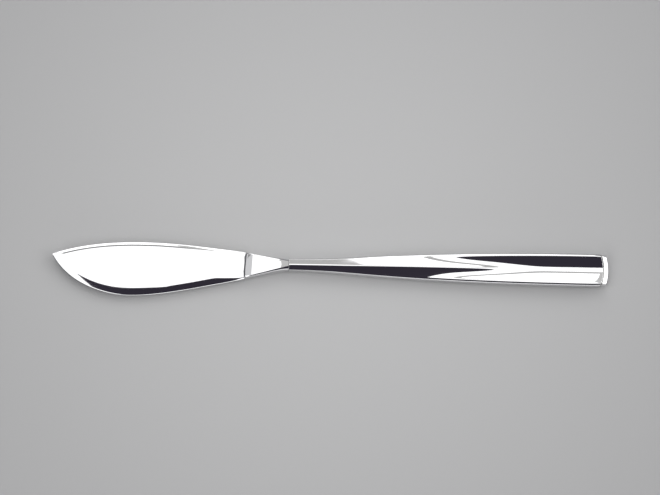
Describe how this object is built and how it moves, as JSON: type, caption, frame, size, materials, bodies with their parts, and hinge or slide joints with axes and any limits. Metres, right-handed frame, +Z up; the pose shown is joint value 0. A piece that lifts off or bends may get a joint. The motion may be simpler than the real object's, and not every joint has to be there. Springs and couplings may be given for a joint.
{
  "type": "cheese knife",
  "caption": "Polished steel cheese knife with a leaf-shaped bevelled blade, rounded bolster and slim hollow handle that turns from a ridge into a trough at its capped butt.",
  "frame": {"origin": "on the surface that the knife lies on, under the middle of its bounding box", "axes": "+X from the tip of the blade to the butt, +Y to the spine's side, +Z up from the surface that the knife lies on"},
  "size_m": [0.2, 0.0192, 0.0054],
  "materials": {
    "polished_steel": "polished",
    "silver_braze": "satin",
    "handle_cement": "matte"
  },
  "bodies": {
    "root": {"blade": "polished_steel", "bolster": "polished_steel", "handle_top_shell": "polished_steel", "handle_bottom_shell": "polished_steel", "butt_cap": "polished_steel", "handle_cement": "handle_cement", "tang_braze": "silver_braze", "neck_braze": "silver_braze", "spine_seam_braze": "silver_braze", "edge_seam_braze": "silver_braze", "butt_braze": "silver_braze"}
  },
  "joints": []
}
